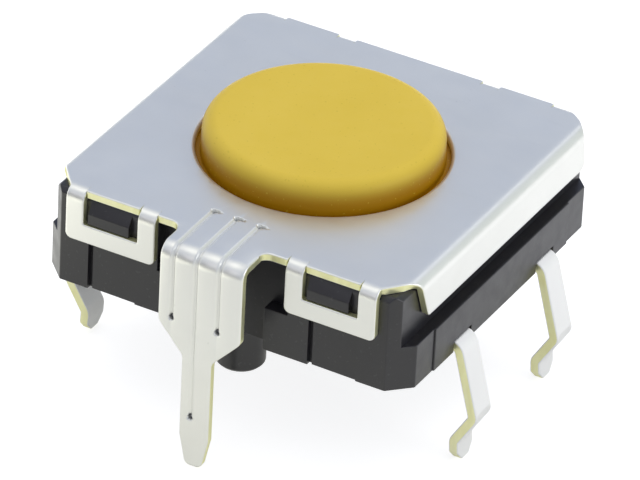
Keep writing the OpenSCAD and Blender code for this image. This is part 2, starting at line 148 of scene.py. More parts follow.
def mixed(tree, fac, a, b):
    """Colour a blended into colour b, each a socket or a plain colour."""
    n = tree.nodes.new("ShaderNodeMix")
    n.data_type = "RGBA"
    for value, socket in ((fac, n.inputs[0]), (a, n.inputs[6]), (b, n.inputs[7])):
        if isinstance(value, bpy.types.NodeSocket):
            tree.links.new(value, socket)
        else:
            socket.default_value = (*value, 1)
    return n.outputs[2]


def arithmetic(tree, kind, a, b):
    """Result of a math node over two values, each a socket or a number."""
    n = tree.nodes.new("ShaderNodeMath")
    n.operation = kind
    for value, socket in ((a, n.inputs[0]), (b, n.inputs[1])):
        if isinstance(value, bpy.types.NodeSocket):
            tree.links.new(value, socket)
        else:
            socket.default_value = value
    return n.outputs[0]


def grain(tree, layers):
    """Normal with layers of fine relief (height, depth in millimetres)."""
    normal = None
    for height, depth in layers:
        b = tree.nodes.new("ShaderNodeBump")
        b.inputs["Distance"].default_value = depth * MM
        tree.links.new(height, b.inputs["Height"])
        if normal is not None:
            tree.links.new(normal, b.inputs["Normal"])
        normal = b.outputs["Normal"]
    return normal


# Floor: where it lies, and how bright it is to the eye and in mirrors
WHITE = (1, 1, 1)
FLOOR_LEVEL = -3.85
FLOOR_HALF = 600
FLOOR_PAPER = [(0.3, (0.48, 0.48, 0.48)), (0.7, (0.52, 0.52, 0.52))]
FLOOR_GLOW = 0.8
# Stretches of the floor, each with the glow in mirrors at its two ends: a painted reflection of light and
# shade on the floor, dimmer in front and close to the object's left, brighter behind and far to the left
MIRRORED_FRONT = (-14.5 * MM, -11 * MM, 0.35, 0.5)
MIRRORED_LEFT = (-8 * MM, -12.5 * MM, 0, 0.6)
MIRRORED_REAR = (1 * MM, 13 * MM, 0, 0.14)
# Tint of that painted reflection from the front to the rear, creamier in front
TINT_RANGE = (-16 * MM, 6 * MM, 0, 1)
TINT = [(0.2, (1, 0.985, 0.80)), (1, (1, 1, 0.99))]


def white_where_seen(tree, shaded, tint, seen, mirrored):
    """The shader with a glow added for rays that see it directly, and another one in mirrors, which is a
    painted reflection.
    """
    path = tree.nodes.new("ShaderNodeLightPath")
    direct = arithmetic(tree, "MAXIMUM", path.outputs["Is Camera Ray"], path.outputs["Is Transmission Ray"])
    glow = tree.nodes.new("ShaderNodeEmission")
    strength = arithmetic(tree, "ADD", arithmetic(tree, "MULTIPLY", direct, seen),
                          arithmetic(tree, "MULTIPLY", path.outputs["Is Glossy Ray"], mirrored))
    tree.links.new(strength, glow.inputs["Strength"])
    tree.links.new(mixed(tree, direct, tint, WHITE), glow.inputs["Color"])
    add = tree.nodes.new("ShaderNodeAddShader")
    tree.links.new(shaded, add.inputs[0])
    tree.links.new(glow.outputs[0], add.inputs[1])
    return add.outputs[0]


def make_floor():
    level, half = FLOOR_LEVEL * MM, FLOOR_HALF * MM
    me = bpy.data.meshes.new("floor")
    corners = [(-half, -half, level), (half, -half, level), (half, half, level), (-half, half, level)]
    me.from_pydata(corners, [], [(0, 1, 2, 3)])
    floor = bpy.data.objects.new("floor", me)
    scene.collection.objects.link(floor)
    mat, tree, out = new_material("floor_white")
    paper = colours(tree, cloud(tree, 0.01), FLOOR_PAPER)
    plain = tree.nodes.new("ShaderNodeBsdfDiffuse")
    tree.links.new(paper, plain.inputs["Color"])
    at = place_axes(tree)
    # painted reflection: the glow that only mirror rays see is graded over the floor
    mirrored = arithmetic(tree, "ADD", span(tree, at["Y"], *MIRRORED_FRONT, True),
                          span(tree, at["X"], *MIRRORED_LEFT, True))
    mirrored = arithmetic(tree, "ADD", mirrored, span(tree, at["Y"], *MIRRORED_REAR, True))
    tint = colours(tree, span(tree, at["Y"], *TINT_RANGE), TINT)
    seen = white_where_seen(tree, plain.outputs[0], tint, FLOOR_GLOW, mirrored)
    tree.links.new(seen, out.inputs["Surface"])
    me.materials.append(mat)


# Surroundings: colours of the sky from the horizon at 0 to straight above at 1
SKY = [
    (0.0, (0.55, 0.57, 0.60)), (0.3, (0.50, 0.54, 0.62)), (0.6, (0.50, 0.54, 0.63)),
    (0.85, (0.62, 0.65, 0.72)), (1.0, (0.70, 0.72, 0.76)),
]
# Each panel: azimuth round +Z from +X, elevation, radius of its even core, full reach, colour
PANELS = [
    (-150, 70, 8, 22, (1.4, 1.4, 1.37)),
    (178, 22, 18, 40, (0.85, 0.87, 0.92)),
    (118, 32, 12, 34, (0.40, 0.455, 0.60)),
    (56, 14, 14, 30, (0.63, 0.68, 0.66)),
    (80, 42, 4, 10, (1.15, 1.2, 1.32)),
    (-112, 3, 20, 34, (0.12, 0.12, 0.13)),
    (-105, 30, 8, 20, (0.93, 0.92, 0.98)),
]


def toward(azimuth, elevation):
    a, e = math.radians(azimuth), math.radians(elevation)
    return Vector((math.cos(a) * math.cos(e), math.sin(a) * math.cos(e), math.sin(e)))


def make_world():
    """Soft studio surroundings: an even sky with broad panels and a dark front."""
    world = bpy.data.worlds.new("studio")
    scene.world = world
    world.use_nodes = True
    tree = world.node_tree
    tree.nodes.clear()
    out = tree.nodes.new("ShaderNodeOutputWorld")
    back = tree.nodes.new("ShaderNodeBackground")
    coord = tree.nodes.new("ShaderNodeTexCoord")
    split = tree.nodes.new("ShaderNodeSeparateXYZ")
    tree.links.new(coord.outputs["Generated"], split.inputs[0])
    colour = colours(tree, split.outputs["Z"], SKY)
    for azimuth, elevation, core, reach, rgb in PANELS:
        dot = tree.nodes.new("ShaderNodeVectorMath")
        dot.operation = "DOT_PRODUCT"
        dot.inputs[1].default_value = toward(azimuth, elevation)
        tree.links.new(coord.outputs["Generated"], dot.inputs[0])
        rim, middle = math.cos(math.radians(reach)), math.cos(math.radians(core))
        colour = mixed(tree, span(tree, dot.outputs["Value"], rim, middle, 0, 1, True), colour, rgb)
    tree.links.new(colour, back.inputs["Color"])
    back.inputs["Strength"].default_value = 1.0
    tree.links.new(back.outputs[0], out.inputs["Surface"])


# Lamps: how far they stand from the point that they face, in metres
LAMP_DISTANCE = 0.3
LAMP_AIM = (0, 0, 2)


def area_lamp(name, azimuth, elevation, width, height, power):
    """Soft box, its width and height in metres, seen from the object at an azimuth from +X."""
    way = toward(azimuth, elevation)
    data = bpy.data.lights.new(name, "AREA")
    data.shape = "RECTANGLE"
    data.size = width
    data.size_y = height
    data.energy = power
    lamp = bpy.data.objects.new(name, data)
    scene.collection.objects.link(lamp)
    lamp.location = Vector(LAMP_AIM) * MM + way * LAMP_DISTANCE
    lamp.rotation_mode = "QUATERNION"
    lamp.rotation_quaternion = way.to_track_quat("Z", "Y")
    return lamp


make_floor()
make_world()
area_lamp("key", 70, 66, 0.28, 0.28, 0.35).visible_glossy = False
area_lamp("side", 5, 16, 0.2, 0.12, 0.17)


# Materials
def surface(name, colour, metallic, roughness, normal, specular=0.5):
    """Material from functions that give the colour, roughness and normal sockets of its tree."""
    mat, tree, out = new_material(name)
    p = tree.nodes.new("ShaderNodeBsdfPrincipled")
    tree.links.new(colour(tree), p.inputs["Base Color"])
    tree.links.new(roughness(tree), p.inputs["Roughness"])
    tree.links.new(normal(tree), p.inputs["Normal"])
    p.inputs["Metallic"].default_value = metallic
    p.inputs["Specular IOR Level"].default_value = specular
    tree.links.new(p.outputs[0], out.inputs["Surface"])
    return mat


def darker(colour, share):
    return tuple(k * share for k in colour)


# Colour of the painted shade in hollows, and how far the search for a hollow's walls goes
HOLLOW_SHADE = (0.09, 0.09, 0.11)
HOLLOW_REACH = 0.16


def tin(name, pale, deep, metallic, rough):
    """Tin-plated sheet: soft clouds, fine rolling lines, faint rubs, and painted shade in narrow hollows."""
    def colour(tree):
        base = colours(tree, cloud(tree, 0.45, 4), [(0.3, deep), (0.72, pale)])
        rub = span(tree, cloud(tree, 0.5, 4, (1, 4, 1), 7), 0.6, 0.78, 0, 0.2, True)
        base = mixed(tree, rub, base, darker(deep, 0.92))
        pits = span(tree, cloud(tree, 7, 1, shift=3), 0.78, 0.84, 0, 0.35, True)
        base = mixed(tree, pits, base, darker(deep, 0.75))
        hollow = tree.nodes.new("ShaderNodeAmbientOcclusion")
        hollow.samples = 8
        hollow.inputs["Distance"].default_value = HOLLOW_REACH * MM
        # painted shade: the colour goes nearly black where the ambient occlusion node finds close walls
        return mixed(tree, span(tree, hollow.outputs["AO"], 0.3, 0.72, 0.85, 0, True), base, HOLLOW_SHADE)

    def roughness(tree):
        return span(tree, cloud(tree, 0.9, 5, (1, 2, 1), 11), 0.3, 0.7, rough, rough + 0.08)

    def normal(tree):
        return grain(tree, [(cloud(tree, 3, 2, (0.3, 2, 1), 5), 0.0003), (cloud(tree, 26, 2), 0.0004)])

    return surface(name, colour, metallic, roughness, normal)


def sheared(name, pale, deep, worn):
    """Cut edge of the sheet, where the brassy base metal shows in fine upright lines."""
    def colour(tree):
        base = colours(tree, cloud(tree, 3, 4, (1, 1, 0.3)), [(0.3, deep), (0.7, pale)])
        return mixed(tree, span(tree, cloud(tree, 0.8, 2, shift=2), 0.5, 0.75, 0, 0.5), base, worn)

    def roughness(tree):
        return span(tree, cloud(tree, 4, 3, (1, 1, 0.3), 3), 0.3, 0.7, 0.3, 0.48)

    def normal(tree):
        return grain(tree, [(cloud(tree, 14, 2, (1, 1, 0.12)), 0.003)])

    return surface(name, colour, 0.7, roughness, normal)


def moulded(name, deep, pale, rough, depth, specular, speck, foot=None):
    """Moulded plastic with a fine eroded grain, faint flow clouds and dust-like specks. The foot
    (colour, lower height, upper height in millimetres) is painted shade: a darker, more orange tint low down
    on the piece."""
    def colour(tree):
        base = colours(tree, cloud(tree, 0.4, 3), [(0.3, deep), (0.7, pale)])
        if foot is not None:
            # painted shade: the colour turns to the foot tint towards the bottom of the piece
            tint, low, high = foot
            base = mixed(tree, span(tree, place_axes(tree)["Z"], low * MM, high * MM, 1, 0, True), base, tint)
        dots = span(tree, cloud(tree, 11, 0, shift=9), 0.76, 0.8, 0, 0.6, True)
        return mixed(tree, dots, base, speck)

    def roughness(tree):
        return span(tree, cloud(tree, 2.2, 5, shift=4), 0.3, 0.7, rough - 0.05, rough + 0.06)

    def normal(tree):
        return grain(tree, [(cloud(tree, 7, 3, shift=1), depth * 1.6), (cloud(tree, 22, 2), depth)])

    return surface(name, colour, 0.0, roughness, normal, specular)


METAL = tin("tin_sheet", (0.92, 0.92, 0.88), (0.88, 0.88, 0.84), metallic=0.8, rough=0.31)
SPRING = tin("spring_sheet", (0.80, 0.80, 0.80), (0.75, 0.75, 0.76), metallic=1.0, rough=0.22)
LEG_METAL = tin("tin_terminal", (0.99, 0.975, 0.935), (0.97, 0.955, 0.915), metallic=0.15, rough=0.38)
SHEARED = sheared("sheared_edge", (0.97, 0.96, 0.58), (0.86, 0.84, 0.45), worn=(0.90, 0.90, 0.66))
BLACK = moulded("black_moulding", (0.0105, 0.0095, 0.0133), (0.0138, 0.0126, 0.017), rough=0.33,
                depth=0.0009, specular=0.68, speck=(0.035, 0.035, 0.038))
# the yellow's foot is painted shade: full darker orange at 3.55 mm height, fading out by 4.25 mm
YELLOW = moulded("yellow_moulding", (0.69, 0.493, 0.058), (0.725, 0.524, 0.071), rough=0.44,
                 depth=0.0008, specular=0.18, speck=(0.58, 0.42, 0.045),
                 foot=((0.40, 0.19, 0.001), 3.55, 4.25))


# Mesh helpers
ARC_STEP = math.radians(15)
NEARLY_STRAIGHT = math.pi - 0.02
SAME_PLACE = 1e-6
MERGE_TOLERANCE = 1e-7
# Points that are handled at a time
SLICE = 3000


def rounded(corners, step):
    """Closed outline through corners (x, y, radius), with arcs at them and its runs cut to step."""
    n = len(corners)
    ends = []
    for i in range(n):
        p = np.array(corners[i][:2], float)
        a = np.array(corners[i - 1][:2], float) - p
        b = np.array(corners[(i + 1) % n][:2], float) - p
        a /= np.linalg.norm(a)
        b /= np.linalg.norm(b)
        r = corners[i][2]
        open_angle = math.acos(max(-1, min(1, float(a @ b))))
        if r <= 0 or open_angle > NEARLY_STRAIGHT:
            ends.append([p])
            continue
        reach = r / math.tan(open_angle / 2)
        mid = a + b
        centre = p + mid / np.linalg.norm(mid) * (r / math.sin(open_angle / 2))
        start, stop = p + a * reach - centre, p + b * reach - centre
        first = math.atan2(start[1], start[0])
        turn = math.atan2(stop[1], stop[0]) - first
        turn = (turn + math.pi) % (2 * math.pi) - math.pi
        count = max(2, math.ceil(abs(turn) / ARC_STEP))
        angles = [first + turn * k / count for k in range(count + 1)]
        ends.append([centre + r * np.array([math.cos(a), math.sin(a)]) for a in angles])
    pts = []
    for i in range(n):
        pts += ends[i]
        p, q = ends[i][-1], ends[(i + 1) % n][0]
        count = max(1, math.ceil(np.linalg.norm(q - p) / step))
        pts += [p + (q - p) * k / count for k in range(1, count)]
    keep = [pts[0]]
    for p in pts[1:]:
        if np.linalg.norm(p - keep[-1]) > SAME_PLACE:
            keep.append(p)
    if np.linalg.norm(keep[0] - keep[-1]) < SAME_PLACE:
        keep.pop()
    return np.array(keep)


def inward(loop):
    """Unit-offset vectors of a loop to the left of its way round, mitred at its corners."""
    sharpest_mitre = 0.35
    d = np.roll(loop, -1, 0) - loop
    d /= np.linalg.norm(d, axis=1)[:, None]
    n = np.stack([-d[:, 1], d[:, 0]], 1)
    m = np.roll(n, 1, 0)
    return (n + m) / np.maximum(1 + (n * m).sum(1), sharpest_mitre)[:, None]


def inside(points, loops):
    """Even-odd test of points against closed loops."""
    odd = np.zeros(len(points), bool)
    for loop in loops:
        a, b = loop, np.roll(loop, -1, 0)
        ay, by = a[:, 1][None], b[:, 1][None]
        for i in range(0, len(points), SLICE):
            p = points[i:i + SLICE]
            px, py = p[:, 0][:, None], p[:, 1][:, None]
            cross = (ay > py) != (by > py)
            with np.errstate(divide="ignore", invalid="ignore"):
                x = a[:, 0][None] + (py - ay) / (by - ay) * (b[:, 0] - a[:, 0])[None]
            odd[i:i + SLICE] ^= (np.count_nonzero(cross & (px < x), axis=1) % 2).astype(bool)
    return odd


def clear_of(points, loops, gap):
    """Keeps the points that lie at least a gap away from every vertex and run of the loops."""
    ok = np.ones(len(points), bool)
    for loop in loops:
        d = np.roll(loop, -1, 0) - loop
        dd = (d * d).sum(1)
        for i in range(0, len(points), SLICE):
            p = points[i:i + SLICE][:, None]
            t = np.clip(((p - loop[None]) * d[None]).sum(2) / dd[None], 0, 1)
            q = p - loop[None] - t[..., None] * d[None]
            ok[i:i + SLICE] &= (q * q).sum(2).min(1) > gap * gap
    return points[ok]


def fill(loops, extra):
    """Triangles over the area inside loops, through the extra points."""
    pts = np.concatenate(loops + ([extra] if len(extra) else []))
    edges = []
    start = 0
    for loop in loops:
        k = len(loop)
        edges += [(start + i, start + (i + 1) % k) for i in range(k)]
        start += k
    out = delaunay_2d_cdt([Vector(p) for p in pts], edges, [], 0, MERGE_TOLERANCE)
    where = [o[0] if o else -1 for o in out[3]]
    if -1 in where:
        raise RuntimeError("an outline crosses itself near %s" % out[0][where.index(-1)])
    faces = np.array([[where[i] for i in f] for f in out[2]])
    return faces[inside(pts[faces].mean(1), loops)]


def area_normals(co, faces):
    """Vertex normals weighted by face area, so flat faces stay flat up to their rounded edges."""
    n = np.zeros_like(co)
    for size in sorted({len(f) for f in faces}):
        f = np.array([g for g in faces if len(g) == size])
        p = co[f]
        a = sum(np.cross(p[:, i] - p[:, 0], p[:, i + 1] - p[:, 0]) for i in range(1, size - 1))
        for i in range(size):
            np.add.at(n, f[:, i], a)
    length = np.linalg.norm(n, axis=1)
    return n / np.maximum(length, 1e-30)[:, None]


def add_object(name, me):
    ob = bpy.data.objects.new(name, me)
    scene.collection.objects.link(ob)
    return ob


def make_piece(name, co, faces, materials, which=None):
    """Smooth mesh object from points, with a material number for each face."""
    me = bpy.data.meshes.new(name)
    me.from_pydata((co * MM).tolist(), [], [list(map(int, f)) for f in faces])
    for m in materials:
        me.materials.append(m)
    if which is not None:
        me.polygons.foreach_set("material_index", np.array(which, np.int32))
    me.polygons.foreach_set("use_smooth", np.ones(len(faces), bool))
    me.normals_split_custom_set_from_vertices(area_normals(co, faces).tolist())
    me.update()
    return add_object(name, me)


# Cut edge of a sheet, with the angles of its upper and lower rounding in radians
SHEAR_STEP = 0.007
SHEAR_LIP = 0.02
SHEAR_SHARE = 0.42
ROLL_ANGLES = (0, 0.45, 0.9, 1.25, QUARTER)
FOOT_ANGLES = (0, 0.8, QUARTER)
CLEAR_GAP = 0.018


def cut_edge(top_round, under_round, thickness):
    """Rings of a cut edge (inset, depth): rolled over above, sheared and stepped, turned below."""
    arc = [(top_round * (1 - math.sin(a)), top_round * (1 - math.cos(a))) for a in ROLL_ANGLES]
    u = np.minimum(under_round, top_round)
    foot = [(SHEAR_STEP + u * (1 - math.cos(a)), thickness - u * (1 - math.sin(a))) for a in FOOT_ANGLES]
    shear = np.maximum(top_round + SHEAR_LIP, SHEAR_SHARE * thickness)
    level = 0 * top_round
    return arc + [(level, shear), (level + SHEAR_STEP, shear + SHEAR_LIP)] + foot


def sheet_mesh(loops, tops, thickness, extra, relief, place, under_round=0.02):
    """Points, faces and material numbers of a sheet cut along loops, its edges rounded by tops.

    relief(x, y) is the height pressed into both faces, and place puts flat points on the shape."""
    co, faces, which, rings = [], [], [], []
    rolled, turned = len(ROLL_ANGLES) - 2, len(FOOT_ANGLES)
    start = 0
    for loop, top_round in zip(loops, tops):
        k = len(loop)
        way = inward(loop)
        prof = cut_edge(np.broadcast_to(top_round, (k,)), under_round, thickness)
        here = []
        for inset, depth in prof:
            p = loop + way * inset[:, None]
            co.append(np.column_stack([p, relief(p[:, 0], p[:, 1]) - depth]))
            here.append(np.arange(start, start + k))
            start += k
        rings.append(here)
        for j in range(len(prof) - 1):
            a, b = here[j], here[j + 1]
            faces += np.column_stack([a, b, np.roll(b, -1), np.roll(a, -1)]).tolist()
            which += [int(rolled <= j < len(prof) - turned)] * k
    for top in (True, False):
        ring = [r[0] if top else r[-1] for r in rings]
        flat = [np.concatenate(co)[i][:, :2] for i in ring]
        pts = clear_of(extra[inside(extra, flat)], flat, CLEAR_GAP)
        tri = fill(flat, pts)
        ids = np.concatenate(ring + [np.arange(start, start + len(pts))])
        co.append(np.column_stack([pts, relief(pts[:, 0], pts[:, 1]) - (0 if top else thickness)]))
        start += len(pts)
        tri = ids[tri] if top else ids[tri][:, ::-1]
        faces += tri.tolist()
        which += [0] * len(tri)
    return place(np.concatenate(co)), faces, which


def bend(u, h, r):
    """Way out and way up of a sheet point past the start of a right-angled downward bend."""
    length = r * QUARTER
    a = np.clip(u / r, 0, QUARTER)
    out = np.where(u < 0, u, (r + h) * np.sin(a))
    up = np.where(u < 0, h, (r + h) * np.cos(a) - r)
    up = np.where(u > length, -r - (u - length), up)
    return out, up


def grid(x, y):
    gx, gy = np.meshgrid(x, y)
    return np.column_stack([gx.ravel(), gy.ravel()])


def spread(values, least):
    """Sorted values with those left out that follow another by less than the least step."""
    values = np.unique(np.round(values, 3))
    return values[np.concatenate([[True], np.diff(values) > least])]


def revolve(profile, top, foot, sides):
    """Points and faces of a turned solid, with its profile (radius, height) from top to foot."""
    turns = [2 * math.pi * k / sides for k in range(sides)]
    co = [(0, 0, top)]
    for r, z in profile:
        co += [(r * math.cos(a), r * math.sin(a), z) for a in turns]
    co.append((0, 0, foot))
    after = [(k + 1) % sides for k in range(sides)]
    faces = [[0, 1 + k, 1 + n] for k, n in enumerate(after)]
    for j in range(len(profile) - 1):
        a, b = 1 + j * sides, 1 + (j + 1) * sides
        faces += [[a + k, b + k, b + n, a + n] for k, n in enumerate(after)]
    last, a = len(co) - 1, 1 + (len(profile) - 1) * sides
    faces += [[a + k, last, a + n] for k, n in enumerate(after)]
    return co, faces


def smoothstep(t):
    return t * t * (3 - 2 * t)


# Cover sheet, as a flat pattern that is folded down past PLATE_X, PLATE_Y and GROUND_Y
TOP, SHEET = 3.4, 0.25
BEND_R, GROUND_R = 0.4, 0.5
ARC, GROUND_ARC = BEND_R * QUARTER, GROUND_R * QUARTER
PLATE_X, PLATE_Y, EDGE_Y = 5.6, 5.65, 5.91
HOLE_R, HOLE_ROUND, HOLE_SIDES = 3.76, 0.14, 192
# Side flanges, and the plate's corners in front and behind
FLANGE_FALL = 1.0
FLANGE_FRONT, FLANGE_REAR, FLANGE_CORNER_R = -4.35, 5.3, 0.3
FRONT_CORNER_Y, FRONT_BEND_Y = -5.25, -4.75
REAR_CORNER_Y, REAR_BEND_Y = 5.5, 5.1
# Angles round a side bend, in radians, at which its slanting ends are drawn
BEND_END_ANGLES = (0.35, 0.7, 1.05, 1.4)
# Latch loops: their rails, windows, ends and the slits that free them from the plate
LOOP_IN, WIN_IN, WIN_OUT, LOOP_OUT = 2.16, 2.74, 4.55, 5.14
LOOP_FRONT_ROOT, LOOP_REAR_ROOT = -5.8, 5.88
WIN_FOOT_Z, LOOP_FOOT_Z = 2.3, 1.7
WIN_END = ARC + TOP - BEND_R - WIN_FOOT_Z
LOOP_END = ARC + TOP - BEND_R - LOOP_FOOT_Z
LOOP_CORNER_R = 0.2
GAP = 0.008
# Ground terminal, with heights for its taper and pin
GROUND_Y = 6.65
GROUND_HALF, PIN_HALF, TIP_HALF = 1.36, 0.485, 0.27
TAPER_TOP_Z, TAPER_FOOT_Z, TIP_TOP_Z, TIP_Z = 0.8, -0.14, -2.83, -3.829
# Pressed grooves with the marks at their ends, and the crowned panels between them
GROOVES = (-0.91, -0.15, 0.61)
GROOVE_FEET_Z = (0.93, -2.24, 0.93)
GROOVE_START, GROOVE_HALF, GROOVE_DEPTH = 4.75, 0.1, 0.07
DEEPEST_PRESS = 0.15
PANEL_CROWN, SIDE_DROOP = 0.04, 0.06
SIDE_START = 0.8
CROWN_FOOT_Z = -0.3
# Radii of cut corners: plain, in a window, in a slit and at the plate's corners
EDGE_CORNER_R, WIN_CORNER_R, SLIT_R, PLATE_CORNER_R = 0.06, 0.05, 0.005, 0.1
# Rounding of the upper cut edge, and lengths of the steps along the loops
EDGE_ROUND, SLIT_ROUND = 0.05, 0.005
OUTLINE_STEP, WINDOW_STEP = 0.08, 0.06


def ground_flat(z):
    """Place down the flat pattern of the ground terminal for a height on its front."""
    return -(GROUND_Y + GROUND_ARC + TOP - GROUND_R - z)


def outline():
    """Outer edge of the flat pattern."""
    end = PLATE_X + ARC + FLANGE_FALL
    c, s, e = EDGE_CORNER_R, SLIT_R, PLATE_CORNER_R
    front = [(PLATE_X + BEND_R * a, FRONT_CORNER_Y + (FRONT_BEND_Y - FRONT_CORNER_Y) * math.sin(a), 0)
             for a in BEND_END_ANGLES]
    rear = [(PLATE_X + BEND_R * a, REAR_CORNER_Y + (REAR_BEND_Y - REAR_CORNER_Y) * math.sin(a), 0)
            for a in reversed(BEND_END_ANGLES)]
    terminal = [
        (TIP_HALF, ground_flat(TIP_Z), 0.2), (PIN_HALF, ground_flat(TIP_TOP_Z), 0.15),
        (PIN_HALF, ground_flat(TAPER_FOOT_Z), 0.3), (GROUND_HALF, ground_flat(TAPER_TOP_Z), 0.25),
        (GROUND_HALF, -EDGE_Y, 0.3)]
    front_loop = [
        (LOOP_IN - GAP, -EDGE_Y, c), (LOOP_IN - GAP, -PLATE_Y, s), (LOOP_IN, -PLATE_Y, s),
        (LOOP_IN, -PLATE_Y - LOOP_END, LOOP_CORNER_R), (LOOP_OUT, -PLATE_Y - LOOP_END, LOOP_CORNER_R),
        (LOOP_OUT, LOOP_FRONT_ROOT, c)]
    flange = [
        (PLATE_X, FRONT_CORNER_Y, e), *front, (PLATE_X + ARC, FRONT_BEND_Y, e), (end, FLANGE_FRONT, e),
        (end, FLANGE_REAR, FLANGE_CORNER_R), (PLATE_X + ARC, REAR_BEND_Y, e), *rear,
        (PLATE_X, REAR_CORNER_Y, e)]
    rear_loop = [
        (LOOP_OUT, LOOP_REAR_ROOT, c), (LOOP_OUT, PLATE_Y + LOOP_END, LOOP_CORNER_R),
        (LOOP_IN, PLATE_Y + LOOP_END, LOOP_CORNER_R), (LOOP_IN, PLATE_Y, s), (LOOP_IN - GAP, PLATE_Y, s),
        (LOOP_IN - GAP, EDGE_Y, c)]
    half = terminal + front_loop + flange + rear_loop
    return rounded(half + [(-x, y, r) for x, y, r in reversed(half)], OUTLINE_STEP)


def window(side, end):
    """Opening of one latch loop, at a side (1 or -1) and an end (1 rear, -1 front) of the plate."""
    foot = PLATE_Y + WIN_END
    corners = [
        (WIN_IN, PLATE_Y, SLIT_R), (WIN_IN, foot, WIN_CORNER_R), (WIN_OUT, foot, WIN_CORNER_R),
        (WIN_OUT, PLATE_Y, SLIT_R), (WIN_OUT - GAP, PLATE_Y, SLIT_R), (WIN_OUT - GAP, EDGE_Y, EDGE_CORNER_R),
        (WIN_IN + GAP, EDGE_Y, EDGE_CORNER_R), (WIN_IN + GAP, PLATE_Y, SLIT_R)]
    corners = [(x * side, y * end, r) for x, y, r in corners]
    if side * end < 0:
        corners.reverse()
    return rounded(corners, WINDOW_STEP)


def cover_loops():
    """Outline, four windows and the button's hole."""
    a = np.linspace(0, 2 * math.pi, HOLE_SIDES, endpoint=False)
    hole = np.column_stack([HOLE_R * np.cos(-a), HOLE_R * np.sin(-a)])
    return [outline()] + [window(side, end) for side in (1, -1) for end in (1, -1)] + [hole]


def edge_round(loop):
    """Rounding of the upper cut edge at each point of a loop, small in the slits beside the bends."""
    x, y = np.abs(loop[:, 0]), np.abs(loop[:, 1])
    near = np.min([np.abs(x - v) for v in (LOOP_IN, WIN_IN, WIN_OUT)], axis=0) < 0.03
    r = np.where(near & (y > PLATE_Y - 0.02) & (y < EDGE_Y - 0.05), SLIT_ROUND, EDGE_ROUND)
    return np.minimum(r, (r + np.roll(r, 1) + np.roll(r, -1)) / 3)


def patch(x, y, half_x, half_y, steep):
    """One inside an ellipse round the origin, with a smooth fall to nought over 1 / steep of it."""
    return smoothstep(np.clip(steep - steep * np.hypot(x / half_x, y / half_y), 0, 1))


def cover_relief(x, y):
    """Pressed grooves, crowned panels and drooping sides of the ground terminal."""
    run = -y
    h = np.zeros_like(x)
    zone = np.abs(x) < GROUND_HALF + 0.01
    for g, foot_z in zip(GROOVES, GROOVE_FEET_Z):
        foot = -ground_flat(foot_z)
        along = np.clip((run - GROOVE_START + 0.02) / 0.025, 0, 1) * np.clip((foot - run) / 0.06, 0, 1)
        across = smoothstep(np.clip(1 - np.abs(x - g) / GROOVE_HALF, 0, 1))
        h = h - np.where(zone, GROOVE_DEPTH * along * across, 0)
        start_mark = patch(x - g - 0.05, run - GROOVE_START - 0.03, 0.17, 0.09, 3)
        h = np.maximum(h - 0.15 * start_mark, -DEEPEST_PRESS)
        foot_mark = patch(x - g, run - foot + 0.05, 0.09, 0.1, 2)
        h = np.maximum(h - 0.14 * foot_mark, -DEEPEST_PRESS)
    edges = (-GROUND_HALF - 0.25,) + GROOVES + (GROUND_HALF + 0.1,)
    grow = np.clip((run - EDGE_Y + 0.1) / 0.5, 0, 1)
    fade = grow * np.clip((-ground_flat(CROWN_FOOT_Z) - run) / 1.2, 0, 1)
    for a, b in zip(edges[:-1], edges[1:]):
        s = (x - (a + b) / 2) / ((b - a) / 2)
        h = h - np.where((x > a) & (x <= b) & zone, PANEL_CROWN * s * s * fade, 0)
    side = np.clip((np.abs(x) - SIDE_START) / (GROUND_HALF - SIDE_START), 0, 1)
    return h - np.where(zone, SIDE_DROOP * side * side * fade, 0)


def cover_place(p):
    """Folds flat points down at the side flanges, the latch loops and the ground terminal."""
    x, y, h = p[:, 0], p[:, 1], p[:, 2]
    ax, ay = np.abs(x), np.abs(y)
    out = np.column_stack([x, y, TOP + h])
    past = ay - PLATE_Y
    tongue = (ax > WIN_IN + GAP / 2) & (ax < WIN_OUT - GAP / 2) & (past < 0.4)
    at_loop = (past > 0) & (ax > LOOP_IN - GAP / 2) & (ax < PLATE_X) & ~tongue
    at_ground = (-y > GROUND_Y) & (ax < GROUND_HALF + 0.05)
    folds = (
        (0, ax - PLATE_X, ax > PLATE_X, BEND_R, PLATE_X, np.sign(x)),
        (1, past, at_loop, BEND_R, PLATE_Y, np.sign(y)),
        (1, -y - GROUND_Y, at_ground, GROUND_R, GROUND_Y, -1))
    for axis, u, chosen, r, start, sign in folds:
        way, up = bend(u, h, r)
        out[chosen, axis] = (sign * (start + way))[chosen]
        out[chosen, 2] = (TOP + up)[chosen]
    return out


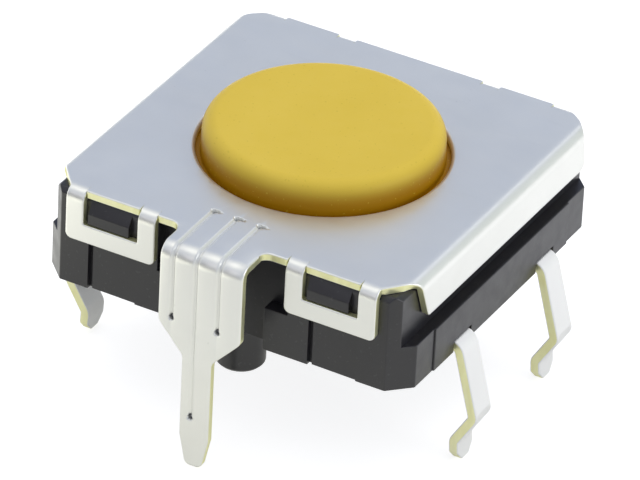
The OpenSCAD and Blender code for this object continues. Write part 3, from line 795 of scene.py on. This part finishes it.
def cover_points():
    """Points inside the flat pattern, close where it bends or is pressed."""
    plate = np.arange(-5.4, 5.5, 0.6)
    pts = [grid(plate, plate)]
    fine = np.linspace(0, ARC, 13)
    flange = np.concatenate([PLATE_X + fine, [PLATE_X - 0.05, PLATE_X + ARC + 0.05],
                             np.arange(PLATE_X + ARC + 0.2, PLATE_X + ARC + FLANGE_FALL, 0.2)])
    loop_rows = np.concatenate([PLATE_Y + fine, [PLATE_Y - 0.05, PLATE_Y + ARC + 0.05]])
    for s in (1, -1):
        pts.append(grid(s * flange, np.arange(-5.2, 5.5, 0.2)))
        for r in (1, -1):
            for a, b in ((LOOP_IN, WIN_IN), (WIN_OUT, LOOP_OUT)):
                pts.append(grid(s * np.linspace(a + 0.05, b - 0.05, 5), r * loop_rows))
    half = (0.025, 0.05, 0.075, 0.1, 0.12, 0.15)
    near = [g + d for g in GROOVES for d in (*(-k for k in half), 0, *half)]
    cols = spread(np.concatenate([near, np.arange(-1.35, 1.36, 0.09)]), 0.012)
    marks = [-4.88, -4.855, -4.83, -4.805, -4.78, -4.765, -4.752, -4.74, -4.728, -4.715, -4.7, -4.68]
    arc = -(GROUND_Y + np.linspace(0, GROUND_ARC, 17))
    rows = np.concatenate([np.arange(-6.57, -4.9, 0.1), marks, arc, arc[-1] - np.arange(0.1, 3.2, 0.1)])
    pts.append(grid(cols, rows))
    ends = [ground_flat(z) + d for z in GROOVE_FEET_Z[:2]
            for d in (-0.06, -0.035, -0.01, 0.015, 0.04, 0.065, 0.09, 0.12)]
    pts.append(grid([g + d for g in GROOVES for d in (-0.1, -0.06, -0.03, 0, 0.03, 0.06, 0.1)], ends))
    pin_groove = [GROOVES[1] + d for d in (-0.1, -0.05, 0, 0.05, 0.1)]
    pin_cols = np.unique(np.round(np.concatenate([np.linspace(-0.45, 0.45, 9), pin_groove]), 3))
    pts.append(grid(pin_cols, np.arange(arc[-1] - 3.25, ground_flat(-3.78), -0.1)))
    return np.concatenate(pts)


def make_cover():
    loops = cover_loops()
    tops = [edge_round(l) for l in loops[:-1]] + [HOLE_ROUND]
    co, faces, which = sheet_mesh(loops, tops, SHEET, cover_points(), cover_relief, cover_place)
    return make_piece("cover_sheet_piece", co, faces, [METAL, SHEARED], which)


# Terminals
LEG_W, LEG_T, LEG_START, LEG_Z = 0.92, 0.3, 5.4, 0.2
# Straight runs of a leg from inside the base, each with the turn after it in degrees and its radius
LEG_RUNS = ((0.55, -75, 0.35), (2.05, -46, 0.23), (0.95, 35, 0.23), (0.62, 0, 0))
TIP_TAPER, LEG_TIP_HALF = 0.3, 0.2
LEG_EDGE_ROUND, LEG_UNDER_ROUND, LEG_CROWN = 0.045, 0.03, 0.012
ROW_MIDDLE, ROW_HALF_PITCH = 0.15, 2.525
MERGE_DISTANCE = 0.0005


def leg_path():
    """Mean line of a leg: length along it, place and heading at close steps, and its marks."""
    s, head = [0.0], [0.0]
    for run, turn, r in LEG_RUNS:
        s.append(s[-1] + run)
        head.append(head[-1])
        if turn:
            s.append(s[-1] + abs(math.radians(turn)) * r)
            head.append(head[-1] + math.radians(turn))
    fine = np.linspace(0, s[-1], 2400)
    angle = np.interp(fine, s, head)
    step = fine[1] - fine[0]
    mid = (angle[1:] + angle[:-1]) / 2
    x = np.concatenate([[0], np.cumsum(np.cos(mid) * step)])
    z = np.concatenate([[0], np.cumsum(np.sin(mid) * step)])
    return fine, x + LEG_START, z + LEG_Z, angle, s


def leg_mesh(side, row):
    """Points, faces and material numbers of one leg, at a side of the base and a terminal row."""
    fine, px, pz, pa, marks = leg_path()
    end = fine[-1]
    w = LEG_W / 2
    loop = rounded([
        (0, -w, 0), (end - TIP_TAPER, -w, 0.15), (end, -LEG_TIP_HALF, 0.12),
        (end, LEG_TIP_HALF, 0.12), (end - TIP_TAPER, w, 0.15), (0, w, 0)], 0.05)
    bends = [np.linspace(marks[i], marks[i + 1], 9) for i in (1, 3, 5)]
    rows = spread(np.concatenate(bends + [np.arange(0.1, end, 0.1)]), 0.03)
    extra = grid(rows, np.linspace(-w + 0.07, w - 0.07, 7))

    def relief(x, y):
        return -LEG_CROWN * np.clip(np.abs(y) / w, 0, 1) ** 3

    def place(p):
        x, z, a = (np.interp(p[:, 0], fine, k) for k in (px, pz, pa))
        h = p[:, 2] + LEG_T / 2
        return np.column_stack([side * (x - np.sin(a) * h), row + side * p[:, 1], z + np.cos(a) * h])

    return sheet_mesh([loop], [LEG_EDGE_ROUND], LEG_T, extra, relief, place, LEG_UNDER_ROUND)


def cad_copy(node_name):
    """A CAD node's mesh in millimetres, with its points merged."""
    bm = bmesh.new()
    bm.from_mesh(nodes[node_name].data)
    bmesh.ops.scale(bm, vec=(1 / MM,) * 3, verts=bm.verts)
    bmesh.ops.remove_doubles(bm, verts=bm.verts, dist=MERGE_DISTANCE)
    return bm


def inner_part(node_name, limit):
    """Triangles of the part of a CAD node inside |x| < limit, closed at its cut ends."""
    bm = cad_copy(node_name)
    for s in (1, -1):
        everything = bm.verts[:] + bm.edges[:] + bm.faces[:]
        cut = bmesh.ops.bisect_plane(bm, geom=everything, plane_co=(s * limit, 0, 0),
                                     plane_no=(s, 0, 0), clear_outer=True)
        rim = [e for e in cut["geom_cut"] if isinstance(e, bmesh.types.BMEdge)]
        bmesh.ops.holes_fill(bm, edges=rim)
    bmesh.ops.triangulate(bm, faces=bm.faces)
    triangles = np.array([[v.co[:] for v in f.verts] for f in bm.faces])
    bm.free()
    return triangles


def make_strip(name, node_name, row):
    """Contact strip: the CAD part inside the base, flat-shaded, with two legs in mesh code."""
    triangles = inner_part(node_name, LEG_START + 0.01)
    points = [triangles.reshape(-1, 3)]
    start = len(points[0])
    faces = np.arange(start).reshape(-1, 3).tolist()
    which = [0] * len(faces)
    for side in (1, -1):
        c, f, w = leg_mesh(side, row)
        points.append(c)
        faces += [[i + start for i in g] for g in f]
        which += w
        start += len(c)
    return make_piece(name, np.concatenate(points), faces, [LEG_METAL, SHEARED], which)


# Base: the CAD shape with its outer edges rounded
BASE_EDGE_R = 0.035
SHARP_EDGE = 28
SAME_FACE = 40
SKIN_X, SKIN_Y, UPPER_Z, FLOOR_Z = 5.9, 5.3, 2.9, 0.01
HAIR_GROOVES_X = (2.94, 4.42)


def corner_normals(bm, limit):
    """A normal for each face corner, weighted by area over the faces there within an angle."""
    near = math.cos(math.radians(limit))
    area = [f.calc_area() for f in bm.faces]
    out = []
    for f in bm.faces:
        for v in (l.vert for l in f.loops):
            n = Vector()
            for g in v.link_faces:
                if f.normal.dot(g.normal) > near:
                    n += g.normal * area[g.index]
            out.append(n.normalized())
    return out


def shows_rounded(edge):
    """True for a sharp outer edge of the base that isn't beside a hair groove."""
    m = (edge.verts[0].co + edge.verts[1].co) / 2
    outer = max(abs(m.x) / SKIN_X, abs(m.y) / SKIN_Y) > 1 or m.z < FLOOR_Z or m.z > UPPER_Z
    hair = abs(m.y) > 5.55 and any(abs(abs(m.x) - x) < 0.08 for x in HAIR_GROOVES_X)
    sharp = edge.is_convex and edge.calc_face_angle(0) > math.radians(SHARP_EDGE)
    return outer and sharp and not hair


def make_base():
    bm = cad_copy("base")
    bmesh.ops.dissolve_limit(bm, angle_limit=math.radians(0.6), verts=bm.verts, edges=bm.edges)
    chosen = [e for e in bm.edges if shows_rounded(e)]
    bmesh.ops.bevel(bm, geom=chosen, offset=BASE_EDGE_R, offset_type="OFFSET", segments=2, profile=0.5,
                    affect="EDGES", clamp_overlap=False)
    bmesh.ops.triangulate(bm, faces=bm.faces, ngon_method="BEAUTY")
    bm.normal_update()
    bm.faces.index_update()
    normals = corner_normals(bm, SAME_FACE)
    bmesh.ops.scale(bm, vec=(MM,) * 3, verts=bm.verts)
    for f in bm.faces:
        f.smooth = True
    me = bpy.data.meshes.new("base_moulding")
    bm.to_mesh(me)
    bm.free()
    me.normals_split_custom_set(normals)
    me.materials.append(BLACK)
    return add_object("base_moulding", me)


# Button: a turned cap with a collar, a hollow skirt, a nub over the dome and two guide keys
BUTTON_TOP, CAP_R, CAP_ROUND = 4.3, 3.59, 0.45
CAP_FOOT_R = 3.6
COLLAR_R, COLLAR_TOP, COLLAR_FOOT, COLLAR_ROUND = 4.31, 3.13, 2.53, 0.05
SKIRT_IN, ROOF = 2.99, 3.5
NUB_ROOT_R, NUB_R, NUB_FOOT = 1.15, 0.9, 1.42
BUTTON_SIDES = 144
KEY_X, KEY_Z = 4.43, 2.83
KEY_SIZE = (0.66, 1.2, 0.6)


def arc(cx, cz, r, first, last, n):
    """Points (radius, height) of an arc between two angles."""
    angles = [math.radians(first + (last - first) * k / n) for k in range(n + 1)]
    return [(cx + r * math.cos(a), cz + r * math.sin(a)) for a in angles]


def button_profile():
    """Half section of the button from its top, down its outside and up and down its hollow."""
    round_r = COLLAR_ROUND
    cap = [(r, BUTTON_TOP) for r in (0.6, 1.2, 1.8, 2.4, 2.8, 3.05)]
    cap += arc(CAP_R - CAP_ROUND, BUTTON_TOP - CAP_ROUND, CAP_ROUND, 90, 0, 10)
    cap += [(3.592, 3.6), (3.596, 3.4), (CAP_FOOT_R, 3.19)] + arc(3.64, 3.17, 0.04, 180, 270, 3)
    collar = [(r, COLLAR_TOP) for r in (3.8, 4.0, 4.2)]
    collar += arc(COLLAR_R - round_r, COLLAR_TOP - round_r, round_r, 90, 0, 4)
    collar += [(COLLAR_R, 2.9), (COLLAR_R, 2.7)]
    collar += arc(COLLAR_R - round_r, COLLAR_FOOT + round_r, round_r, 0, -90, 4)
    collar += [(r, COLLAR_FOOT) for r in (4.0, 3.6, 3.2)]
    collar += arc(3.05, COLLAR_FOOT + round_r, round_r, -90, -180, 4)
    hollow = [(SKIRT_IN, 2.8), (2.98, 3.1), (2.97, 3.4)] + arc(2.87, ROOF - 0.1, 0.1, 0, 90, 4)
    hollow += [(r, ROOF) for r in (2.6, 2.0, 1.5)] + arc(NUB_ROOT_R + 0.09, ROOF - 0.09, 0.09, 90, 180, 4)
    nub = [(1.1, 3.1), (1.05, 2.7), (1.0, 2.3), (0.95, 1.8), (0.91, 1.5)]
    nub += arc(NUB_R - 0.06, NUB_FOOT + 0.06, 0.06, 0, -90, 3) + [(0.5, NUB_FOOT)]
    return cap + collar + hollow + nub


def make_button():
    co, faces = revolve(button_profile(), BUTTON_TOP, NUB_FOOT, BUTTON_SIDES)
    for side in (1, -1):
        bm = bmesh.new()
        bmesh.ops.create_cube(bm, size=1)
        for v in bm.verts:
            x, y, z = (k * size for k, size in zip(v.co, KEY_SIZE))
            v.co = (side * KEY_X + x, y, KEY_Z + z)
        bmesh.ops.bevel(bm, geom=bm.edges[:], offset=0.05, segments=2, profile=0.5, affect="EDGES")
        bm.verts.index_update()
        start = len(co)
        co += [tuple(v.co) for v in bm.verts]
        faces += [[v.index + start for v in f.verts] for f in bm.faces]
        bm.free()
    return make_piece("button_cap", np.array(co), faces, [YELLOW])


# Click dome: a shallow cap on a flat rim
DOME_Z, DOME_RISE, DOME_T = 0.9, 0.4, 0.1
CAP_HALF, RIM_R = 3.5, 3.8
DOME_SIDES, DOME_RINGS = 120, 24


def make_dome():
    """Snap disc: a shallow cap of sprung sheet with a flat, rolled rim."""
    sphere = (CAP_HALF ** 2 + DOME_RISE ** 2) / (2 * DOME_RISE)
    low = DOME_Z + DOME_RISE - sphere
    steps = [CAP_HALF * k / DOME_RINGS for k in range(1, DOME_RINGS + 1)]
    under = [(r, low + math.sqrt(sphere ** 2 - r ** 2)) for r in steps]
    over = [(r, z + DOME_T) for r, z in under]
    rim_half = [(CAP_HALF + 0.04, 0), (RIM_R - 0.04, 0), (RIM_R - 0.01, 0.008), (RIM_R, 0.03)]
    rim = [(r, DOME_Z + DOME_T - z) for r, z in rim_half] + [(r, DOME_Z + z) for r, z in reversed(rim_half)]
    crown = DOME_Z + DOME_RISE
    co, faces = revolve(over + rim + under[::-1], crown + DOME_T, crown, DOME_SIDES)
    return make_piece("click_disc", np.array(co), faces, [SPRING])


# Assembly
def stand_for(piece, node_name, body):
    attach(piece, body)
    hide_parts(node_name)


stand_for(make_cover(), "cover", "housing")
front_strip = make_strip("front_strip", "front_contact_strip", ROW_MIDDLE - ROW_HALF_PITCH)
stand_for(front_strip, "front_contact_strip", "housing")
rear_strip = make_strip("rear_strip", "rear_contact_strip", ROW_MIDDLE + ROW_HALF_PITCH)
stand_for(rear_strip, "rear_contact_strip", "housing")
stand_for(make_base(), "base", "housing")
stand_for(make_button(), "button", "push_button")
disc = make_dome()
stand_for(disc, "click_dome", "housing")
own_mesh(disc)
